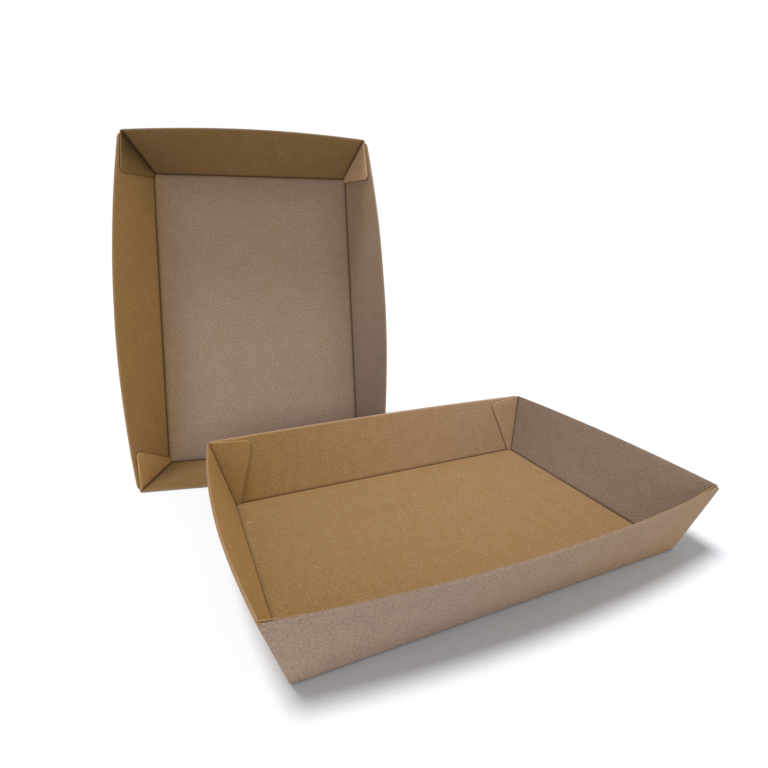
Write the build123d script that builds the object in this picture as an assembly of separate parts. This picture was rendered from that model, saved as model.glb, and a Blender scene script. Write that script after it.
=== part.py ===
# Two open cardboard trays: one lies on its base, the other stands on an end wall behind it.
# Each tray is one sheet of thin corrugated board, cut, folded up and glued at its four corners.
# Its end walls carry a tab at each end, which folds round the corner and is glued inside a side wall.
# Millimetres, +Z up. X runs along the lying tray, and +Y is towards the standing one.
# The origin is on the ground, under the middle of the two trays' common box.
import os
from math import cos, radians, sin, tan

from build123d import *

# Tray, measured on the outside of the board
base_length = 228.0
base_width = 152.0
tray_height = 44.0
board = 1.5  # thickness of the corrugated sheet
end_flare = 16.0  # degrees that the short end walls lean outwards
side_flare = 14.5  # degrees that the long side walls lean outwards

# Folds, cut corners and glue tabs
fold_ratio = 0.8  # outside radius of a fold, in board thicknesses
crease_ratio = 0.3  # radius of the pressed groove inside a fold, in board thicknesses
base_ratio = 0.3  # how far the base reaches into the walls, in wall thicknesses
end_step = 0.6  # a side wall stops this far short of the end wall's outer face
corner_round = 5.0  # upper corners of a side wall
tab_reach = 29.0  # length of a tab along the rim, from the corner fold
tab_foot = 3.0  # what is left of that length at the base
tab_slope = 5.5  # degrees that a tab's upper edge falls below the rim
tab_round = 5.0  # free upper corner of a tab

# How far the middle of each free rim springs outwards
lying_bows = {"front": 10.0, "back": 4.0, "left": 6.0, "right": 4.0}
standing_bows = {"front": 9.0, "back": 9.0, "left": 0.0, "right": 4.0}

# Place of the standing tray, whose left end wall is flat on the ground
standing_turn = 13.0  # degrees clockwise, seen from above
standing_along = -3.0  # its near lower corner, from the middle of the lying tray
standing_gap = 0.3  # clear space between the two rims

end_run = tray_height * tan(radians(end_flare))
side_run = tray_height * tan(radians(side_flare))
end_thickness = board / cos(radians(end_flare))
side_thickness = board / cos(radians(side_flare))
half_length = base_length / 2
half_width = base_width / 2
tab_outside = half_width - side_thickness  # a tab's outer face lies against the side wall


def strip(half_span, outer, thickness, bow, height):
    """A band along X whose outer side lies at y = outer and swells by bow in the middle."""
    inner = outer - thickness
    if bow:
        inner_side = ThreePointArc((-half_span, inner), (0, inner + bow), (half_span, inner))
        outer_side = ThreePointArc((half_span, outer), (0, outer + bow), (-half_span, outer))
    else:
        inner_side = Line((-half_span, inner), (half_span, inner))
        outer_side = Line((half_span, outer), (-half_span, outer))
    right_side = Line((half_span, inner), (half_span, outer))
    left_side = Line((-half_span, outer), (-half_span, inner))
    return Pos(0, 0, height) * make_face([inner_side, right_side, outer_side, left_side])


def trapezoid(foot, rim):
    """The outline of a wall, from its foot to its rim, with half its length at each."""
    return make_face(Polyline((-foot, 0), (foot, 0), (rim, tray_height), (-rim, tray_height), close=True))


def through(outline):
    """The prism that cuts an outline of X and Z through everything along Y."""
    return extrude(Plane.XZ * outline, base_width, both=True)


def wall(half_span, span_run, outer, outer_run, thickness, bow):
    """A wall on the +Y side that leans outwards, straight at its fold and bowed at its rim."""
    reach = half_span + span_run
    if bow:
        foot = strip(half_span, outer, thickness, 0, 0)
        rim = strip(reach, outer + outer_run, thickness, bow, tray_height)
        return loft([foot, rim], ruled=True)
    inner = outer - thickness
    corners = [(inner, 0), (outer, 0), (outer + outer_run, tray_height), (inner + outer_run, tray_height)]
    section = make_face(Polyline(*corners, close=True))
    return extrude(Plane.YZ * section, reach, both=True) & through(trapezoid(half_span, reach))


def base_fold(slab):
    """The edge of a wall that is rounded where the board folds up from the base."""
    return slab.edges().group_by(Axis.Z)[0].sort_by(Axis.Y)[-1]


def end_wall(bow):
    """An end wall on the +Y side, with rounded folds to the base and to both of its tabs."""
    slab = wall(tab_outside, side_run, half_length, end_run, end_thickness, bow)
    corner = (tab_outside + side_run / 2, half_length + end_run / 2, tray_height / 2)
    right_fold = slab.edges().sort_by_distance(corner)[0]
    left_fold = slab.edges().sort_by_distance((-corner[0], *corner[1:]))[0]
    return fillet([base_fold(slab), right_fold, left_fold], fold_ratio * board)


def side_wall(bow):
    """A side wall on the +Y side, with a rounded fold and two rounded upper corners."""
    slab = wall(half_length, end_run, half_width, side_run, side_thickness, bow)
    slab = fillet(base_fold(slab), fold_ratio * board)
    foot = half_length - end_step
    rim = foot + end_run
    outline = trapezoid(foot, rim)
    outline = fillet(outline.vertices().sort_by(Axis.Y)[-2:], corner_round)
    return slab & through(outline)


def tab_pair(bow):
    """The two tabs inside the side wall on the +Y side, which follow its bow."""
    slab = wall(half_length, end_run, tab_outside, side_run, side_thickness, bow)
    foot = half_length - end_thickness / 2
    rim = foot + end_run
    free_corner = (rim - tab_reach, tray_height - tab_reach * tan(radians(tab_slope)))
    corners = [(foot - tab_foot, 0), (foot, 0), (rim, tray_height), free_corner]
    outline = make_face(Polyline(*corners, close=True))
    outline = fillet(outline.vertices().sort_by_distance((*free_corner, 0))[0], tab_round)
    prism = through(outline)
    return slab & (prism + mirror(prism, Plane.YZ))


def groove(start, end):
    """The rod that presses a crease into the inside of a fold."""
    path = Line(start, end)
    return sweep(Plane(origin=start, z_dir=path % 0) * Circle(crease_ratio * board), path=path)


def creases():
    """Grooves inside the four base folds and the four corner folds."""
    low_x = half_length - end_thickness + board * tan(radians(end_flare))
    side_y = tab_outside + board * tan(radians(side_flare))
    low_y = side_y - side_thickness
    high_x = half_length - end_thickness + end_run
    high_y = tab_outside - side_thickness + side_run
    rods = []
    for sign in (-1, 1):
        rods.append(groove((-low_x, sign * side_y, board), (low_x, sign * side_y, board)))
        rods.append(groove((sign * low_x, -low_y, board), (sign * low_x, low_y, board)))
        for other in (-1, 1):
            low = (sign * low_x, other * low_y, board)
            high = (sign * high_x, other * high_y, tray_height)
            rods.append(groove(low, high))
    return rods


def base_plate():
    """The base, whose sloping edges lie inside the four walls' thickness."""
    foot_x = half_length - (1 - base_ratio) * end_thickness
    foot_y = half_width - (1 - base_ratio) * side_thickness
    top_x = foot_x + board * tan(radians(end_flare))
    top_y = foot_y + board * tan(radians(side_flare))
    foot = Rectangle(2 * foot_x, 2 * foot_y)
    top = Pos(0, 0, board) * Rectangle(2 * top_x, 2 * top_y)
    return loft([foot, top], ruled=True)


def tray(bows):
    """One glued tray on its base, whose underside is at Z = 0."""
    body = base_plate()
    for turn, name in ((-90, "right"), (90, "left")):
        body += Rot(0, 0, turn) * end_wall(bows[name])
    for turn, name in ((0, "back"), (180, "front")):
        body += Rot(0, 0, turn) * tab_pair(bows[name])
        body += Rot(0, 0, turn) * side_wall(bows[name])
    for rod in creases():
        body -= rod
    return body.solid()


def stand_up(body):
    """Stands a tray on its left end wall, behind the lying tray and just clear of it."""
    lean = radians(end_flare)
    turn = radians(standing_turn)
    base_middle = (0, 0, half_length * cos(lean))
    upright = Plane(base_middle, x_dir=(0, sin(lean), cos(lean)), z_dir=(0, -cos(lean), sin(lean)))
    near_corner_x = half_width + side_run
    near_corner_y = -(half_length + end_run) * sin(lean) - tray_height * cos(lean)

    # At the height of the lying tray's rim, the standing one has leant back and swelled sideways
    share = tray_height / cos(lean) / (base_length + 2 * end_run)
    swell = 4 * share * (1 - share) * standing_bows["front"] * sin(turn)
    rim_back = half_width + side_run + lying_bows["back"]
    place_y = max(half_width, rim_back + swell - tray_height * tan(lean) * cos(turn)) + standing_gap
    from_corner = Pos(-near_corner_x, -near_corner_y, 0)
    to_place = Pos(standing_along, place_y, 0) * Rot(0, 0, -standing_turn) * from_corner
    return to_place * (upright.location * body)


lying_tray = tray(lying_bows)
standing_tray = stand_up(tray(standing_bows))
extent = Compound([lying_tray, standing_tray]).bounding_box()
to_origin = Pos(-extent.center().X, -extent.center().Y, -extent.min.Z)

os.makedirs("parts", exist_ok=True)
for name, piece in (("lying_tray", lying_tray), ("standing_tray", standing_tray)):
    export_step(to_origin * piece, f"parts/{name}.step")
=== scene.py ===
from math import atan, cos, pi, radians, sin, sqrt, tan

import bmesh
import bpy
from mathutils import Matrix, Vector, kdtree, noise


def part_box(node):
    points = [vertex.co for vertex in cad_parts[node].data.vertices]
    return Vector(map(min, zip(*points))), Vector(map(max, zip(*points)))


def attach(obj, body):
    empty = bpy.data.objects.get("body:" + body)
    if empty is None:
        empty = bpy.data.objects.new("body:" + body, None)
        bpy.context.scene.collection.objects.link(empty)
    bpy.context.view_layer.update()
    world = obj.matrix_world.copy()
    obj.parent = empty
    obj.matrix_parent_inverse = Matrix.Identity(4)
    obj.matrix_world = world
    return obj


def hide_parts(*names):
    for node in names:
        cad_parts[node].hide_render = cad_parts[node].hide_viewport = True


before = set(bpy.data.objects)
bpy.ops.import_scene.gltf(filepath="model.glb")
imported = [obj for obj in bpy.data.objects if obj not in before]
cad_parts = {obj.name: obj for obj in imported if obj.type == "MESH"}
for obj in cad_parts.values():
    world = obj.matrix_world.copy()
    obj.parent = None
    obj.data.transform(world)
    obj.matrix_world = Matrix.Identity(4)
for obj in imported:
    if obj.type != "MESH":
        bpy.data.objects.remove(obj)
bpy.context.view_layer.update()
mm = 0.001

# A tray is one sheet of corrugated board. It is first folded up as a thin sheet that lies half way
# through the board, in millimetres, and a node tree then gives it its two liners and its cut edges.
tray = {
    "length": 228.0,
    "width": 152.0,
    "height": 44.0,
    "thickness": 1.5,
    "endFlare": radians(16.0),   # how far the short end walls lean outwards
    "sideFlare": radians(14.5),  # and the long side walls
    "foldRadius": 0.45,
    "foldSteps": 4,              # faces round a fold
    "endStep": 0.6,              # a side wall stops this far short of the end wall's outer face
    "tabReach": 29.0,            # length of a glued tab along the rim
    "tabFoot": 3.0,              # what is left of that length at the base
    "tabSlope": radians(5.5),    # how far a tab's upper edge falls below the rim
    "tabRound": 5.0,
    "roundFade": 4,              # how fast a side wall's rounded corner fades below its rim
    "tabGap": 0.04,              # glue line between a tab and its side wall
    "cornerNotch": 0.5,          # the fold lines stop this far from each other at a base corner
    "notchHeight": 2.2,          # height over which a side wall grows from there to its full length
    "pinch": 0.5,                # how far a corner fold is pinched outwards at its foot
    "pinchHeight": 2.0,
    "warp": 0.3,                 # how far the walls wander from a true surface
    "warpWave": 48.0,            # size of that wandering
    "warpFrom": 3.0,             # and the height where it starts
    "ragged": 0.1,               # how far a cut edge wanders
    "raggedScale": 1.7,
    "drift": 0.004,              # the flutes run this much off the blank's long axis
}
flutes = {"pitch": 3.3, "samples": 6, "liner": 0.2, "medium": 0.16, "ripple": 0.012, "depth": 0.14}

# Rows of points close to a fold line and to a rim, and those of a side wall close to its ends, as
# distances from it. Further on they are evenly spaced
closeRows = {"fold": (0.8, 1.6, 2.6), "rim": (1.5, 0.8, 0.3)}
closeColumns = (0.0, 0.1, 0.4, 0.9, 1.6, 2.5, 3.6, 5.0, 7.5)
evenColumns = {"first": 15.0, "step": 12.0}
endRowStep = 3.6
keptOff = 0.2  # the rows before a side fold stop this far from the base's last one

# Distance from a fold line, with what is left of the board's thickness and how dark its crease is there,
# partly the pressed crease line and partly painted shade in the fold
pressed = ((0.0, 0.42), (0.35, 0.50), (0.8, 0.80), (1.6, 1.03), (2.6, 1.0))
creaseLineAndShade = ((0.0, 1.0), (0.45, 0.9), (0.9, 0.45), (1.6, 0.14), (3.2, 0.0))

# Distance from a cut edge, and what the cutting has left of the thickness, there and on a glued tab
crushed = ((0.0, 0.70), (0.3, 0.78), (0.8, 0.93), (1.6, 1.0))
gluedDown = ((0.0, 0.74), (0.3, 0.90), (0.8, 1.0))

# How the paper's tone and shade change within a panel, where light and shade are painted into it
footPaintedLight = {"inside": 0.12, "outside": 0.24}  # painted light: a wall is this much lighter at its foot, against the shade that falls there
paintedBaseEdge = {"dim": 32.0, "warm": 18.0, "fade": 1.5}  # reach of a base's painted shade near its folds, and of the golden bounce from its back wall painted on it
paleRimHighlight = {"width": 1.3, "grey": 0.8}  # how far down a wall a painted highlight along its rim goes, partly the cut paper's own paler colour, and how grey it turns
tabEdgeShadowAndHighlight = {"gap": 0.12, "lip": 1.0}  # painted shadow on its cut edge beside the wall, and painted highlight along its inner side

# The bows are how far the middle of each rim springs outwards. Each panel's paper has a tone, from 0,
# golden, to 1, mauve grey, and a shade. They are partly the paper's own colour and partly painted light
# and shade: each panel is tinted and lightened or darkened for how it is lit. Both run from the tray's
# left end to its right one, on an end wall from its front to its back, and on a tab from its free end to
# its fold, as in (first tone, last tone, first shade, last shade)
trays = {
    "lying_tray": {
        "bows": {"front": 10.0, "back": 4.0, "left": 6.0, "right": 4.0},
        "cornerRound": 2.6,
        "creaseShade": 0.66,
        "creaseWidth": 1.0,
        "baseShadeNearFolds": 0.04,
        "baseBounceNearBack": 0.0,
        "rimHighlights": {"back": 0.6},
        "inside": {
            "base": (0.13, 0.31, 0.79, 1.00),
            "front": (0.10, 0.40, 0.90, 0.95),
            "back": (0.00, 0.66, 0.79, 1.15),
            "left": (-0.20, -0.20, 1.32, 1.20),
            "right": (1.50, 1.50, 1.00, 0.82),
            "leftBackTab": (-0.22, -0.22, 0.84, 0.76),
            "leftFrontTab": (-0.05, -0.05, 0.90, 0.90),
            "rightBackTab": (0.60, 0.60, 1.18, 1.10),
            "rightFrontTab": (0.60, 0.60, 1.00, 1.00),
        },
        "outside": {
            "base": (0.50, 0.50, 1.00, 1.00),
            "front": (1.22, 0.58, 0.99, 0.91),
            "back": (0.80, 0.80, 1.20, 1.20),
            "left": (0.70, 0.70, 1.05, 1.05),
            "right": (0.60, 0.60, 1.05, 1.05),
            # The tabs' outsides lie against the walls and show only on their cut edges, where these high
            # shades paint a highlight along each tab's top edge
            "leftBackTab": (0.20, 0.20, 2.50, 2.50),
            "leftFrontTab": (0.30, 0.30, 1.30, 1.30),
            "rightBackTab": (0.30, 0.30, 1.50, 1.50),
            "rightFrontTab": (0.30, 0.30, 1.30, 1.30),
        },
        "lean": 0.0,
        "turn": 0.0,
        "seed": 3.0,
    },
    "standing_tray": {
        "bows": {"front": 9.0, "back": 9.0, "left": 0.0, "right": 4.0},
        "cornerRound": 5.0,
        "creaseShade": 0.95,
        "creaseWidth": 1.3,
        "baseShadeNearFolds": 0.22,
        "baseBounceNearBack": 0.6,
        "rimHighlights": {},
        "inside": {
            "base": (1.00, 0.84, 1.18, 1.00),
            "front": (1.22, 0.66, 0.68, 1.04),
            "back": (-0.10, 0.04, 0.98, 0.89),
            # The bottom and top walls are painted darker, as painted shade
            "left": (0.06, 0.06, 0.57, 0.57),
            "right": (0.20, 0.10, 0.68, 0.53),
            "leftBackTab": (0.02, 0.02, 1.37, 1.37),
            "leftFrontTab": (0.90, 0.90, 0.90, 0.90),
            # Painted shade, deepening from this tab's free end into its corner fold
            "rightBackTab": (-0.30, -0.40, 0.57, 0.10),
            "rightFrontTab": (0.57, 0.57, 1.50, 1.28),
        },
        "outside": {
            "base": (0.60, 0.50, 1.05, 1.05),
            "front": (0.30, 0.30, 1.05, 1.05),
            "back": (0.85, 0.85, 1.05, 1.05),
            "left": (0.50, 0.50, 1.00, 1.00),
            "right": (0.70, 0.70, 0.85, 0.85),
            # The tabs' outsides lie against the walls and show only on their cut edges, where these high
            # shades paint a highlight along each tab's top edge
            "leftBackTab": (0.30, 0.30, 1.50, 1.50),
            "leftFrontTab": (0.30, 0.30, 1.50, 1.50),
            "rightBackTab": (0.30, 0.30, 1.10, 1.10),
            "rightFrontTab": (0.30, 0.30, 1.50, 1.50),
        },
        "lean": radians(90.0) - tray["endFlare"],
        "turn": radians(-13.0),
        "seed": 11.0,
    },
}

halfLength = tray["length"] / 2
halfWidth = tray["width"] / 2
height = tray["height"]
middle = tray["thickness"] / 2
endSlope = tan(tray["endFlare"])
sideSlope = tan(tray["sideFlare"])
endThick = tray["thickness"] / cos(tray["endFlare"])
sideThick = tray["thickness"] / cos(tray["sideFlare"])
endFold = halfLength - endThick / 2 + middle * endSlope
sideFold = halfWidth - sideThick / 2 + middle * sideSlope
tabFold = sideFold - sideThick - tray["tabGap"]
notch = tray["cornerNotch"]
lastRow = tabFold + tray["pinch"] - notch
fluteStep = flutes["pitch"] / flutes["samples"]


def lookedUp(table, distance):
    distance = abs(distance)
    for (near, nearLeft), (far, farLeft) in zip(table, table[1:]):
        if distance <= far:
            return nearLeft + (farLeft - nearLeft) * (distance - near) / (far - near)
    return table[-1][1]


def rounding(fromEnd, radius):
    # How far a rounded corner drops below a straight rim
    if fromEnd >= radius:
        return 0.0
    return radius - sqrt(radius ** 2 - (radius - fromEnd) ** 2)


def spaced(start, end, step):
    count = max(1, round(abs(end - start) / step))
    return [start + (end - start) * i / count for i in range(count + 1)]


def arch(share):
    return max(0.0, 1 - share ** 2)


def rise(z):
    return (z - middle) / (height - middle)


def fromLeft(x):
    return x / tray["length"] + 0.5


def foldRows(foldOut, flare, step, nearest):
    # Rows across a fold, as distance out from the tray's middle, height and distance from the fold
    radius = tray["foldRadius"]
    turn = pi / 2 - flare
    reach = radius * tan(turn / 2)
    rows = [(foldOut - d, middle, -d) for d in closeRows["fold"][::-1] if d <= nearest]
    for i in range(tray["foldSteps"] + 1):
        share = i / tray["foldSteps"]
        out = foldOut - reach + radius * sin(turn * share)
        rows.append((out, middle + radius * (1 - cos(turn * share)), reach * (2 * share - 1)))
    slant = (height - middle) / cos(flare)
    *nearFold, first = closeRows["fold"]
    last, *nearRim = closeRows["rim"]
    for d in (*nearFold, *spaced(first, slant - last, step), *(slant - d for d in nearRim), slant):
        rows.append((foldOut + d * sin(flare), middle + d * cos(flare), d))
    return rows


class Sheet:
    # The folded sheet, whose patches share the points that fall in the same place
    def __init__(self, look):
        self.look = look
        self.places, self.blank, self.press, self.crease, self.glued = [], [], [], [], []
        self.inside, self.outside = {"tone": [], "shade": []}, {"tone": [], "shade": []}
        self.faces, self.known = [], {}

    def point(self, place, blank, folds, panel, along):
        # The folds are its distances from the nearest fold lines, and along runs from 0 to 1
        key = tuple(round(c, 3) for c in place)
        if key in self.known:
            return self.known[key]
        self.known[key] = len(self.places)
        self.places.append(place)
        self.blank.append(blank)
        press = 1.0
        for distance in folds:
            press *= lookedUp(pressed, distance)
        self.press.append(press)
        # How dark its crease is, partly the pressed crease line and partly painted shade in the fold
        wide = self.look["creaseWidth"]
        dark = max(lookedUp(creaseLineAndShade, distance / wide) for distance in folds)
        self.crease.append(self.look["creaseShade"] * dark)
        self.glued.append(float(panel.endswith("Tab")))
        for side, kept in (("inside", self.inside), ("outside", self.outside)):
            tone, shade = self.paperAt(place, side, panel, along)
            kept["tone"].append(tone)
            kept["shade"].append(shade)
        return self.known[key]

    def paperAt(self, place, side, panel, along):
        x, y, z = place
        toneStart, toneEnd, shadeStart, shadeEnd = self.look[side][panel]
        tone = toneStart + (toneEnd - toneStart) * along
        shade = shadeStart + (shadeEnd - shadeStart) * along
        # A painted highlight along a rim, partly the cut paper's own paler colour, which also greys it
        rimHighlight = self.look["rimHighlights"].get(panel, 0.0) * max(0, 1 - (height - z) / paleRimHighlight["width"])
        tone += rimHighlight * paleRimHighlight["grey"]
        shade *= 1 + rimHighlight
        # Painted light at a wall's foot, against the shade that falls there
        if panel != "base":
            shade *= 1 + footPaintedLight[side] * (1 - rise(z)) ** 2
        elif side == "inside":
            # Painted shade near a base's folds, and the golden bounce of the back wall painted near that
            # fold
            fromFolds = min(endFold - abs(x), sideFold - abs(y))
            dim = max(0, 1 - fromFolds / paintedBaseEdge["dim"]) ** paintedBaseEdge["fade"]
            warm = max(0, 1 - (sideFold - y) / paintedBaseEdge["warm"]) ** paintedBaseEdge["fade"]
            shade *= 1 - self.look["baseShadeNearFolds"] * dim
            tone -= self.look["baseBounceNearBack"] * warm
        return tone, shade

    def patch(self, rows):
        for low, high in zip(rows, rows[1:]):
            for i in range(len(low) - 1):
                corners = [low[i], low[i + 1], high[i + 1], high[i]]
                if None not in corners:
                    self.faces.append(corners)


def basePoint(sheet, share, y):
    x = share * (endFold - notch)
    folds = (endFold - abs(x), sideFold - abs(y))
    return sheet.point((x, y, middle), (x, y), folds, "base", fromLeft(x))


def sidePoint(sheet, share, sign, name, row, rimEnd):
    # A point of a side wall or of the base beside it. Its share runs from -1 to 1 between the ends
    out, z, distance = row
    if distance > closeRows["fold"][1]:
        drop = rounding((1 - abs(share)) * rimEnd, sheet.look["cornerRound"])
        lowered = drop * (z / height) ** tray["roundFade"]
        z -= lowered
        out -= lowered * sideSlope
    foot = endFold - notch
    end = halfLength - tray["endStep"] + z * endSlope
    opened = min(1.0, max(0.0, (z - middle) / tray["notchHeight"]))
    x = share * (foot + (end - foot) * opened ** 2 * (3 - 2 * opened))
    bow = sheet.look["bows"][name] * rise(z) * arch(x / (endFold + rise(z) * height * endSlope))
    place = (x, sign * (out + bow), z)
    blank = (x, sign * (sideFold + distance))
    if z <= middle:
        return sheet.point(place, blank, (distance, endFold - abs(x)), "base", fromLeft(x))
    return sheet.point(place, blank, (distance,), name, fromLeft(x))


def baseAndSides(sheet):
    # One patch runs from the front rim over the base to the back rim
    rimEnd = halfLength - tray["endStep"] + height * endSlope
    shares = [1 - d / rimEnd for d in closeColumns]
    shares += spaced(1 - evenColumns["first"] / rimEnd, 0, evenColumns["step"] / rimEnd)
    shares = [-share for share in shares[:-1]] + shares[::-1]
    section = foldRows(sideFold, tray["sideFlare"], fluteStep, sideFold - lastRow - keptOff)
    rows = [[sidePoint(sheet, share, -1, "front", row, rimEnd) for share in shares] for row in section[::-1]]
    rows += [[basePoint(sheet, share, y) for share in shares] for y in spaced(-lastRow, lastRow, fluteStep)]
    rows += [[sidePoint(sheet, share, 1, "back", row, rimEnd) for share in shares] for row in section]
    sheet.patch(rows)


def tabOut(z):
    # How far a tab's fold is from the tray's middle. Its foot is pinched outwards
    foot = max(0.0, 1 - (z - middle) / tray["pinchHeight"])
    return tabFold + (z - middle) * sideSlope + tray["pinch"] * foot ** 2


def endPoint(sheet, share, sign, name, row):
    # A point of an end wall or of the base beside it. Its share runs from -1 to 1 between the corners
    out, z, distance = row
    cornerY = tabOut(z)
    y = share * (cornerY - notch)
    x = sign * (out + sheet.look["bows"][name] * rise(z) * arch(y / cornerY))
    blank = (sign * (endFold + distance), y)
    folds = (distance, cornerY - abs(y))
    if z <= middle:
        return sheet.point((x, y, z), blank, folds, "base", fromLeft(x))
    return sheet.point((x, y, z), blank, folds, name, share / 2 + 0.5)


def cornerPoint(sheet, share, side, sign, name, row):
    # A point on the fold between an end wall and a tab, where its share is 0 and 1
    out, z, distance = row
    radius = tray["foldRadius"]
    cornerY = tabOut(z)
    angle = share * pi / 2
    x = out - radius + radius * cos(angle)
    y = cornerY - radius + radius * sin(angle)
    fromFold = radius * (2 * share - 1)
    blank = (sign * (endFold + distance), side * (cornerY + fromFold))
    panel, along = (name, side / 2 + 0.5) if share < 0.5 else (tabName(name, side), 1.0)
    return sheet.point((sign * x, side * y, z), blank, (distance, fromFold), panel, along)


def tabName(name, side):
    return name + ("BackTab" if side > 0 else "FrontTab")


def tabPoint(sheet, fromFold, side, sign, name, row):
    # A point of a tab, this far from its corner fold. Only the first of it keeps that distance at
    # the foot, where the tab is narrow
    out, z, distance = row
    top = height - fromFold * tan(tray["tabSlope"])
    top -= rounding(tray["tabReach"] - fromFold, tray["tabRound"])
    lowered = (height - top) * rise(z)
    z -= lowered
    out -= lowered * endSlope
    width = tray["tabFoot"] + (tray["tabReach"] - tray["tabFoot"]) * z / height
    kept = closeRows["fold"][1]
    away = fromFold
    if fromFold > kept:
        away = kept + (fromFold - kept) / (tray["tabReach"] - kept) * (width - kept)
    x = out - away
    bow = sheet.look["bows"]["back" if side > 0 else "front"]
    y = tabOut(z) + bow * rise(z) * arch(x / out)

    # Its place on the flat blank, from how far it lies along the fold and across it
    foldAxis = Vector((endSlope, sideSlope, 1)).normalized()
    fromFoot = Vector((x - endFold, y - tabFold, z - middle))
    up = fromFoot.dot(foldAxis)
    across = (fromFoot - up * foldAxis).length
    skew = atan(sideSlope * cos(tray["endFlare"]))
    blankX = endFold + up * cos(skew) - across * sin(skew)
    blankY = tabFold + up * sin(skew) + across * cos(skew)
    along = (1 - fromFold / tray["tabReach"]) ** 2
    blank = (sign * blankX, side * blankY)
    return sheet.point((sign * x, side * y, z), blank, (fromFold,), tabName(name, side), along)


def endAndTabs(sheet, sign, name):
    # One patch runs from a tab round the corner, along an end wall and round to the other tab
    shares = [y / lastRow for y in spaced(-lastRow, lastRow, fluteStep)]
    arc = [i / tray["foldSteps"] for i in range(tray["foldSteps"] + 1)]
    first, start, _ = closeRows["fold"]
    tab = [first, *spaced(start, tray["tabReach"], fluteStep)]
    section = foldRows(endFold, tray["endFlare"], endRowStep, notch)
    section.insert(0, (endFold - notch, middle, -notch))
    rows = []
    for row in section:
        whole = row[2] > -notch  # the row on the base has no corners
        points = []
        for side in (-1, 0, 1):
            if not side:
                points += [endPoint(sheet, share, sign, name, row) for share in shares]
                continue
            corner = [(cornerPoint, share) for share in arc] + [(tabPoint, d) for d in tab]
            for make, value in corner[::side]:
                points.append(make(sheet, value, side, sign, name, row) if whole else None)
        rows.append(points)
    sheet.patch(rows)


def facedOut(b):
    # The normals point away from the tray's inside, so that its underside looks down
    bmesh.ops.recalc_face_normals(b, faces=b.faces)
    b.verts.ensure_lookup_table()
    b.faces.ensure_lookup_table()
    lowest = min(b.faces, key=lambda f: f.calc_center_median().z)
    if lowest.normal.z > 0:
        bmesh.ops.reverse_faces(b, faces=b.faces)
    b.normal_update()


def outOfSheet(b):
    # Which way is out of the sheet, at each point of its edge
    outward = [Vector() for _ in b.verts]
    for edge in b.edges:
        if len(edge.link_faces) == 1:
            line = (edge.verts[1].co - edge.verts[0].co).normalized()
            away = edge.link_faces[0].normal.cross(line)
            if away.dot(edge.link_faces[0].calc_center_median() - edge.verts[0].co) > 0:
                away.negate()
            for vert in edge.verts:
                outward[vert.index] += away
    for vert in b.verts:
        if vert.is_boundary:
            outward[vert.index].normalize()
    return outward


def crushedEdges(b, glued):
    # What is left of the thickness at each point, and how far a tab is lifted by it, because a tab
    # keeps its outer side against the wall
    rims = [vert for vert in b.verts if vert.is_boundary]
    nearest = kdtree.KDTree(len(rims))
    for vert in rims:
        nearest.insert(vert.co, vert.index)
    nearest.balance()
    crush = []
    lift = []
    for vert, onTab in zip(b.verts, glued):
        left = lookedUp(gluedDown if onTab else crushed, nearest.find(vert.co)[2] / mm)
        crush.append(left)
        lift.append(middle * mm * (1 - left) if onTab else 0.0)
    return crush, lift


def warpSheet(b, outward, seed):
    for vert in b.verts:
        if vert.is_boundary:
            ragged = noise.noise(vert.co / mm * tray["raggedScale"] + Vector((seed, 0, 0)))
            vert.co += outward[vert.index] * ragged * tray["ragged"] * mm
        if vert.co.z > tray["warpFrom"] * mm:
            share = min(1.0, vert.co.z / (height * mm))
            wander = noise.noise(vert.co / mm / tray["warpWave"] + Vector((0, seed, 0)))
            vert.co += vert.normal * wander * tray["warp"] * share * mm


apart = {"trays": 40.0, "sides": 300.0}  # so that the paper's pattern doesn't repeat on them


def foldedSheet(name, look):
    sheet = Sheet(look)
    baseAndSides(sheet)
    endAndTabs(sheet, -1, "left")
    endAndTabs(sheet, 1, "right")
    mesh = bpy.data.meshes.new(name + "_sheet")
    mesh.from_pydata([tuple(c * mm for c in p) for p in sheet.places], [], sheet.faces)
    b = bmesh.new()
    b.from_mesh(mesh)
    facedOut(b)
    outward = outOfSheet(b)
    crush, lift = crushedEdges(b, sheet.glued)
    warpSheet(b, outward, look["seed"])
    b.to_mesh(mesh)
    b.free()
    stored = {"outward": outward,
              "blank": [(x, y, look["seed"] * apart["trays"]) for x, y in sheet.blank],
              "flute": [y + x * tray["drift"] for x, y in sheet.blank],
              "press": sheet.press,
              "crush": crush,
              "lift": lift,
              "glued": sheet.glued,
              "fold": sheet.crease,
              "toneIn": sheet.inside["tone"],
              "toneOut": sheet.outside["tone"],
              "shadeIn": sheet.inside["shade"],
              "shadeOut": sheet.outside["shade"]}
    for key, values in stored.items():
        if key in ("outward", "blank"):
            layer = mesh.attributes.new(key, "FLOAT_VECTOR", "POINT")
            layer.data.foreach_set("vector", [c for v in values for c in v])
        else:
            layer = mesh.attributes.new(key, "FLOAT", "POINT")
            layer.data.foreach_set("value", values)
    piece = bpy.data.objects.new(name + "_board", mesh)
    bpy.context.scene.collection.objects.link(piece)
    return piece


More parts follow.
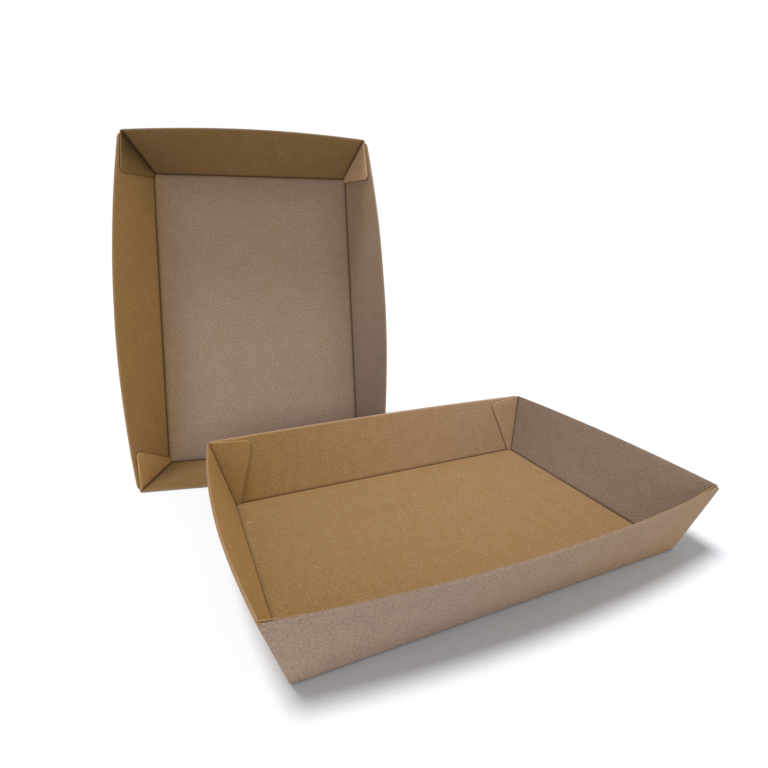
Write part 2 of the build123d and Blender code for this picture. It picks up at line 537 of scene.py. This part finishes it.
class Value:
    # A number in a node tree, with Python's own operators
    def __init__(self, tree, socket):
        self.tree, self.socket = tree, socket

    def math(self, operation, *others):
        return self.tree.node("ShaderNodeMath", {"operation": operation}, [self, *others])

    def __add__(self, other):
        return self.math("ADD", other)

    __radd__ = __add__

    def __mul__(self, other):
        return self.math("MULTIPLY", other)

    __rmul__ = __mul__

    def __sub__(self, other):
        return self.math("SUBTRACT", other)

    def __rsub__(self, other):
        return self.math("MULTIPLY", -1).math("ADD", other)

    def __truediv__(self, other):
        return self.math("DIVIDE", other)

    def clamped(self, low=0.0, high=1.0):
        return self.math("MAXIMUM", low).math("MINIMUM", high)

    def between(self, low, high):
        # Smooth step from 0 to 1 as the value goes from low to high
        limits = {"Value": self, "From Min": low, "From Max": high}
        return self.tree.node("ShaderNodeMapRange", {"interpolation_type": "SMOOTHSTEP"}, limits)


class Tree:
    # Wraps a node tree, so that a node is one call: its type, its settings, then its sockets
    def __init__(self, nodes):
        self.nodes = nodes

    def node(self, kind, settings=None, sockets=None, out=0):
        made = self.nodes.nodes.new(kind)
        for key, value in (settings or {}).items():
            setattr(made, key, value)
        pairs = sockets.items() if isinstance(sockets, dict) else enumerate(sockets or [])
        for key, value in pairs:
            socket = made.inputs[key]
            if isinstance(value, Value):
                self.nodes.links.new(value.socket, socket)
            else:
                socket.default_value = value
        return Value(self, made.outputs[out])


boardInputs = {
    "Thickness": tray["thickness"] * mm,
    "Liner": flutes["liner"] * mm,
    "Medium": flutes["medium"] * mm,
    "Pitch": flutes["pitch"],
    "Ripple": flutes["ripple"] * mm,
    "Depth": flutes["depth"] * mm,
}
boardFinish = {
    "outerPress": 0.3,            # how deep a fold is pressed on the outside, beside the inside
    "outerCrease": 0.25,          # and how dark, partly painted shade in the fold
    "flattened": 0.8,             # how much of the flutes' wave the glue has flattened in a tab
    "clear": 0.01 * mm,           # between the wave's crests and the liners
    "open": (0.02 * mm, 0.3 * mm),  # gap beside the wave where its mouth starts, and where it is deep
    "weld": 0.001 * mm,
}


def boardTree(linerPaper, cutPaper):
    # Two rippled liners, joined round every cut edge by their own thickness and the wavy paper between
    group = bpy.data.node_groups.new("corrugated board", "GeometryNodeTree")
    group.interface.new_socket("Geometry", in_out="INPUT", socket_type="NodeSocketGeometry")
    for label, value in boardInputs.items():
        socket = group.interface.new_socket(label, in_out="INPUT", socket_type="NodeSocketFloat")
        socket.default_value = value
    group.interface.new_socket("Geometry", in_out="OUTPUT", socket_type="NodeSocketGeometry")
    tree = Tree(group)
    start = group.nodes.new("NodeGroupInput")
    given = {s.name: Value(tree, s) for s in start.outputs if s.name}

    def stored(name, kind="FLOAT"):
        return tree.node("GeometryNodeInputNamedAttribute", {"data_type": kind}, {"Name": name})

    def keep(geometry, name, value, kind="FLOAT", domain="POINT", where=None):
        sockets = {"Geometry": geometry, "Name": name, "Value": value}
        if where is not None:
            sockets["Selection"] = where
        return tree.node("GeometryNodeStoreNamedAttribute", {"data_type": kind, "domain": domain}, sockets)

    def vectors(operation, *parts):
        return tree.node("ShaderNodeVectorMath", {"operation": operation}, parts)

    def scaled(vector, by):
        return tree.node("ShaderNodeVectorMath", {"operation": "SCALE"}, {"Vector": vector, "Scale": by})

    sheet = keep(given["Geometry"], "across", tree.node("GeometryNodeInputNormal"), "FLOAT_VECTOR")
    sheet = keep(sheet, "rest", tree.node("GeometryNodeInputPosition"), "FLOAT_VECTOR")
    across, rest, outward = (stored(name, "FLOAT_VECTOR") for name in ("across", "rest", "outward"))
    press = stored("press")
    wave = (stored("flute") * 2 * pi / given["Pitch"]).math("SINE")
    ripple = wave * given["Ripple"]
    half = given["Thickness"] / 2 * stored("crush")
    outer = half * (press * boardFinish["outerPress"] + (1 - boardFinish["outerPress"])) + stored("lift")
    inner = stored("lift") - half * press

    def placed(geometry, level, depth=None, where=None):
        place = vectors("ADD", rest, scaled(across, level))
        if depth is not None:
            place = vectors("SUBTRACT", place, scaled(outward, depth))
        sockets = {"Geometry": geometry, "Position": place}
        if where is not None:
            sockets["Selection"] = where
        return tree.node("GeometryNodeSetPosition", {}, sockets)

    outerSide = keep(placed(sheet, outer + ripple), "tone", stored("toneOut"))
    outerSide = keep(outerSide, "shade", stored("shadeOut"))
    outerSide = keep(outerSide, "crease", stored("fold") * boardFinish["outerCrease"])
    innerSide = keep(placed(sheet, inner + ripple), "tone", stored("toneIn"))
    innerSide = keep(innerSide, "shade", stored("shadeIn"))
    shifted = vectors("ADD", stored("blank", "FLOAT_VECTOR"), (0.0, 0.0, apart["sides"]))
    innerSide = keep(innerSide, "blank", shifted, "FLOAT_VECTOR")
    innerSide = keep(innerSide, "crease", stored("fold"))
    innerSide = tree.node("GeometryNodeFlipFaces", {}, {"Mesh": innerSide})

    # The cut edge's outline runs from the outer liner round the wavy paper to the inner one
    upperLiner = outer + ripple - given["Liner"]
    lowerLiner = inner + ripple + given["Liner"]
    room = (upperLiner - lowerLiner - given["Medium"]) / 2
    room = room * (1 - stored("glued") * boardFinish["flattened"])
    centre = (upperLiner + lowerLiner) / 2
    wavy = centre + wave * (room - boardFinish["clear"]).math("MAXIMUM", 0)
    wavyTop = wavy + given["Medium"] / 2
    wavyLow = wavy - given["Medium"] / 2
    upperDepth = given["Depth"] * (upperLiner - wavyTop).between(*boardFinish["open"])
    lowerDepth = given["Depth"] * (wavyLow - lowerLiner).between(*boardFinish["open"])
    outline = ((upperLiner, None, "gap"), (upperLiner, upperDepth, "gap"), (wavyTop, upperDepth, "gap"),
               (wavyTop, None, "gap"), (wavyLow, None, "gap"), (wavyLow, lowerDepth, "lip"),
               (lowerLiner, lowerDepth, "lip"), (lowerLiner, None, "lip"), (inner + ripple, None, "lip"))
    board = keep(outerSide, "cut", False, "BOOLEAN", "FACE")
    edges = tree.node("GeometryNodeInputMeshEdgeNeighbors").math("COMPARE", 1, 0.1)  # those of one face
    for level, depth, part in outline:
        board = tree.node("GeometryNodeExtrudeMesh", {"mode": "EDGES"},
                          {"Mesh": board, "Selection": edges, "Offset Scale": 0.0})
        extruded = board.socket.node
        edges = Value(tree, extruded.outputs["Top"])
        side = Value(tree, extruded.outputs["Side"])
        board = placed(board, level, depth, edges)
        board = keep(board, "cut", True, "BOOLEAN", "FACE", side)
        # A glued tab's cut edge gets painted shadow beside its wall and a painted highlight along its inner
        # side
        paintedTabEdge = 1 + stored("glued") * (tabEdgeShadowAndHighlight[part] - 1)
        board = keep(board, "shade", stored("shadeOut") * paintedTabEdge, where=edges)

    joined = group.nodes.new("GeometryNodeJoinGeometry")
    group.links.new(innerSide.socket, joined.inputs[0])
    group.links.new(board.socket, joined.inputs[0])
    whole = tree.node("GeometryNodeMergeByDistance", {},
                      {"Geometry": Value(tree, joined.outputs[0]), "Distance": boardFinish["weld"]})
    whole = tree.node("GeometryNodeRealizeInstances", {}, {"Geometry": whole})
    whole = tree.node("GeometryNodeSetMaterial", {}, {"Geometry": whole, "Material": linerPaper})
    whole = tree.node("GeometryNodeSetMaterial", {},
                      {"Geometry": whole, "Material": cutPaper, "Selection": stored("cut", "BOOLEAN")})
    end = group.nodes.new("NodeGroupOutput")
    group.links.new(whole.socket, end.inputs[0])
    return group


def plainMesh(piece, group, values):
    # The result of a node tree on a piece, as a mesh of its own
    modifier = piece.modifiers.new("made", "NODES")
    modifier.node_group = group
    for item in group.interface.items_tree:
        if item.in_out == "INPUT" and item.name in values:
            modifier[item.identifier] = values[item.name]
    bpy.context.view_layer.update()
    shown = piece.evaluated_get(bpy.context.evaluated_depsgraph_get())
    mesh = bpy.data.meshes.new_from_object(shown)
    mesh.materials.pop(index=0)  # an empty slot, which the sheet had before the tree gave it its papers
    piece.modifiers.clear()
    piece.data = mesh
    return mesh


def newMaterial(name):
    material = bpy.data.materials.new(name)
    material.use_nodes = True
    material.node_tree.nodes.clear()
    return material, Tree(material.node_tree)


def mixed(tree, factor, first, second, blend="MIX"):
    settings = {"data_type": "RGBA", "blend_type": blend, "clamp_result": False}
    made = tree.node("ShaderNodeMix", settings, {}, 2)
    node = made.socket.node
    for index, value in ((0, factor), (6, first), (7, second)):  # its sockets for colours
        if isinstance(value, Value):
            tree.nodes.links.new(value.socket, node.inputs[index])
        else:
            node.inputs[index].default_value = value
    return made


def attribute(tree, name, out=2):
    # Its output 2 is a number, and 1 is a vector
    return tree.node("ShaderNodeAttribute", {"attribute_name": name}, {}, out)


def shaded(tree, colour, light):
    grey = tree.node("ShaderNodeCombineColor", {}, [light, light, light])
    return mixed(tree, 1.0, colour, grey, "MULTIPLY")


def finishMaterial(material, tree, values, colour, uneven, relief):
    # Roughness follows the first pattern, and the bumps follow the second
    bump = {"Height": relief, "Distance": values["relief"], "Strength": values["reliefStrength"]}
    sockets = {"Base Color": colour,
               "Roughness": values["roughness"] + uneven * values["unevenness"],
               "Specular IOR Level": values["gloss"],
               "Normal": tree.node("ShaderNodeBump", {}, bump)}
    shader = tree.node("ShaderNodeBsdfPrincipled", {}, sockets)
    output = material.node_tree.nodes.new("ShaderNodeOutputMaterial")
    material.node_tree.links.new(shader.socket, output.inputs["Surface"])
    return material


liner = {
    "golden": (0.335, 0.195, 0.069, 1),
    "mauve": (0.265, 0.192, 0.145, 1),
    "flecks": (0.62, 0.47, 0.30, 1),
    "specks": (0.10, 0.06, 0.03, 1),
    # The crease colour is partly the pressed crease line and partly painted shade in the fold
    "crease": (0.06, 0.03, 0.012, 1),
    "creaseStrength": 0.9,
    "roughness": 0.86,
    "unevenness": 0.12,
    "gloss": 0.15,
    "relief": 0.12 * mm,
    "reliefStrength": 0.6,
}

# Clouds in the paper, from the broadest to the finest: scale, stretch, detail and roughness
clouds = {
    "broad": (0.02, (1.0, 1.0, 1.0), 2.0, 0.55),
    "patches": (0.16, (1.0, 0.7, 1.0), 4.0, 0.55),
    "flecks": (0.42, (0.6, 1.3, 1.0), 1.0, 0.55),
    "specks": (0.55, (0.6, 1.4, 1.0), 1.0, 0.55),
    "mottle": (0.85, (0.85, 1.0, 1.0), 4.0, 0.75),
    "fibres": (1.8, (0.45, 1.2, 1.0), 5.0, 0.7),
    "grain": (2.6, (1.0, 0.8, 1.0), 3.0, 0.7),
}

# How strongly the clouds change the paper's tone, its brightness and its relief
toning = {"broad": 0.22, "patches": 0.3}
lighting = {"patches": 0.28, "mottle": 1.35, "fibres": 0.9, "grain": 0.5}
raising = {"fibres": 0.5, "grain": 0.3, "mottle": 0.2}

# Peaks of these clouds show as spots: where one starts, where it is whole, and how strong it is
spots = {"flecks": (0.25, 0.31, 0.35), "specks": (0.225, 0.28, 0.5)}


def weighed(start, made, weights):
    for name, weight in weights.items():
        start = start + made[name] * weight
    return start


def kraftLiner():
    material, tree = newMaterial("kraft liner")
    blank = attribute(tree, "blank", 1)
    made = {}
    for name, (scale, stretch, detail, rough) in clouds.items():
        place = tree.node("ShaderNodeVectorMath", {"operation": "MULTIPLY"}, [blank, stretch])
        sockets = {"Vector": place, "Scale": scale, "Detail": detail, "Roughness": rough}
        made[name] = tree.node("ShaderNodeTexNoise", {}, sockets) - 0.5
    tone = weighed(attribute(tree, "tone"), made, toning)
    light = weighed(1, made, lighting) * attribute(tree, "shade")
    colour = shaded(tree, mixed(tree, tone, liner["golden"], liner["mauve"]), light)
    for name, (start, whole, strength) in spots.items():
        colour = mixed(tree, made[name].between(start, whole) * strength, colour, liner[name])
    # The folds are darkened, partly as pressed crease lines and partly with painted shade
    darkened = attribute(tree, "crease").clamped() * liner["creaseStrength"]
    colour = mixed(tree, darkened, colour, liner["crease"])
    return finishMaterial(material, tree, liner, colour, made["fibres"], weighed(0, made, raising))


cut = {
    "grain": 1200.0,
    "detail": 3.0,
    "mottling": 0.9,
    "roughness": 0.92,
    "unevenness": 0.1,
    "gloss": 0.2,
    "relief": 0.1 * mm,
    "reliefStrength": 0.5,
}


def cutEdge():
    material, tree = newMaterial("cut edge")
    place = tree.node("ShaderNodeTexCoord", {}, {}, "Object")
    sockets = {"Vector": place, "Scale": cut["grain"], "Detail": cut["detail"]}
    grain = tree.node("ShaderNodeTexNoise", {}, sockets) - 0.5
    colour = mixed(tree, attribute(tree, "tone"), liner["golden"], liner["mauve"])
    colour = shaded(tree, colour, attribute(tree, "shade") * (grain * cut["mottling"] + 1))
    return finishMaterial(material, tree, cut, colour, grain, grain)


def putInPlace(piece, node, look):
    # Leans and turns the tray as it stands, and sets it on the middle and the lowest level of its node
    matrix = Matrix.Rotation(look["turn"], 4, "Z")
    if look["lean"]:
        quarterTurn = Matrix(((0, -1, 0), (1, 0, 0), (0, 0, 1))).to_4x4()  # its right end goes up
        matrix = matrix @ Matrix.Rotation(look["lean"], 4, "X") @ quarterTurn
    piece.data.transform(matrix)
    xs, ys, zs = zip(*(v.co for v in piece.data.vertices))
    low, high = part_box(node)
    shiftX = (low.x + high.x - min(xs) - max(xs)) / 2
    shiftY = (low.y + high.y - min(ys) - max(ys)) / 2
    piece.data.transform(Matrix.Translation((shiftX, shiftY, low.z - min(zs))))


sharpAngle = radians(40)
corrugated = boardTree(kraftLiner(), cutEdge())
print("paper and board ready")
for name, look in trays.items():
    piece = foldedSheet(name, look)
    mesh = plainMesh(piece, corrugated, boardInputs)
    putInPlace(piece, name, look)
    b = bmesh.new()
    b.from_mesh(mesh)
    bmesh.ops.recalc_face_normals(b, faces=b.faces)
    b.to_mesh(mesh)
    b.free()
    mesh.shade_smooth()
    mesh.set_sharp_from_angle(angle=sharpAngle)
    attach(piece, "root")
    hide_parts(name)
    print("built", name, sum(len(p.vertices) - 2 for p in mesh.polygons), "triangles")

studio = {
    "sky": 0.36,
    "keyStrength": 2.36,
    "keyAngle": radians(18.0),
    "keyFrom": (-0.27, 0.03, 1.0),
    "fills": {"front": (10.0, 1.0, (-0.369, -1.378, 0.514)),  # power, size and place
              "right": (7.0, 1.0, (1.41, -0.30, 0.463))},
    "aim": (0, 0, 0.05),
    "floorSize": 30.0,
    "floorDrop": 0.0001,  # the floor lies this far under the trays
    "floorColour": (0.94, 0.95, 0.97, 1),
    "floorGlow": 0.045,
    "glowColour": (0.12, 0.60, 1.0, 1),
}


def seenRay(tree):
    # 1 where the camera sees a thing, straight or in a gloss, and 0 where it only lights the trays
    names = ("Is Camera Ray", "Is Glossy Ray", "Is Transmission Ray")
    seen, glossy, through = (tree.node("ShaderNodeLightPath", {}, {}, name) for name in names)
    return (seen + glossy + through).clamped()


def makeFloor():
    bpy.ops.mesh.primitive_plane_add(size=studio["floorSize"], location=(0, 0, -studio["floorDrop"]))
    floor = bpy.context.object
    floor.name = "floor"
    material, tree = newMaterial("pale floor")
    diffuse = tree.node("ShaderNodeBsdfDiffuse", {}, {"Color": studio["floorColour"]})
    strength = seenRay(tree) * studio["floorGlow"]
    glow = tree.node("ShaderNodeEmission", {}, {"Color": studio["glowColour"], "Strength": strength})
    both = tree.node("ShaderNodeAddShader", {}, [diffuse, glow])
    output = material.node_tree.nodes.new("ShaderNodeOutputMaterial")
    material.node_tree.links.new(both.socket, output.inputs["Surface"])
    floor.data.materials.append(material)


def makeKey():
    lamp = bpy.data.lights.new("key", "SUN")
    lamp.energy = studio["keyStrength"]
    lamp.angle = studio["keyAngle"]
    made = bpy.data.objects.new("key", lamp)
    made.rotation_euler = Vector(studio["keyFrom"]).to_track_quat("Z", "Y").to_euler()
    bpy.context.scene.collection.objects.link(made)


def makeFill(name, power, size, place, lit):
    lamp = bpy.data.lights.new(name, "AREA")
    lamp.energy = power
    lamp.shape = "DISK"
    lamp.size = size
    made = bpy.data.objects.new(name, lamp)
    made.location = place
    aim = Vector(studio["aim"]) - Vector(place)
    made.rotation_euler = aim.to_track_quat("-Z", "Y").to_euler()
    made.light_linking.receiver_collection = lit
    bpy.context.scene.collection.objects.link(made)


def makeWorld():
    world = bpy.data.worlds.new("studio")
    bpy.context.scene.world = world
    world.use_nodes = True
    world.node_tree.nodes.clear()
    tree = Tree(world.node_tree)
    strength = seenRay(tree) * (1.0 - studio["sky"]) + studio["sky"]
    sky = tree.node("ShaderNodeBackground", {}, {"Color": (1, 1, 1, 1), "Strength": strength})
    output = world.node_tree.nodes.new("ShaderNodeOutputWorld")
    world.node_tree.links.new(sky.socket, output.inputs["Surface"])


camera = {
    "place": (-0.12239, -0.29711, 0.17608),
    "heading": 24.4,
    "dip": 16.9,
    "roll": 0.5,
    "lens": 23.319,
    "nearest": 0.01,
}


def makeCamera():
    data = bpy.data.cameras.new("camera")
    data.lens = camera["lens"]
    data.clip_start = camera["nearest"]
    made = bpy.data.objects.new("camera", data)
    bpy.context.scene.collection.objects.link(made)
    turned = Matrix.Rotation(radians(-camera["heading"]), 4, "Z")
    dipped = Matrix.Rotation(radians(90 - camera["dip"]), 4, "X")
    rolled = Matrix.Rotation(radians(camera["roll"]), 4, "Z")
    made.matrix_world = Matrix.Translation(camera["place"]) @ turned @ dipped @ rolled
    bpy.context.scene.camera = made


makeFloor()
makeKey()
lit = bpy.data.collections.new("lit by the fills")  # not the floor, which keeps its shadow
for name in trays:
    lit.objects.link(bpy.data.objects[name + "_board"])
for name, (power, size, place) in studio["fills"].items():
    makeFill(name, power, size, place, lit)
makeWorld()
makeCamera()
bpy.context.scene.view_settings.view_transform = "Standard"
print("studio ready")
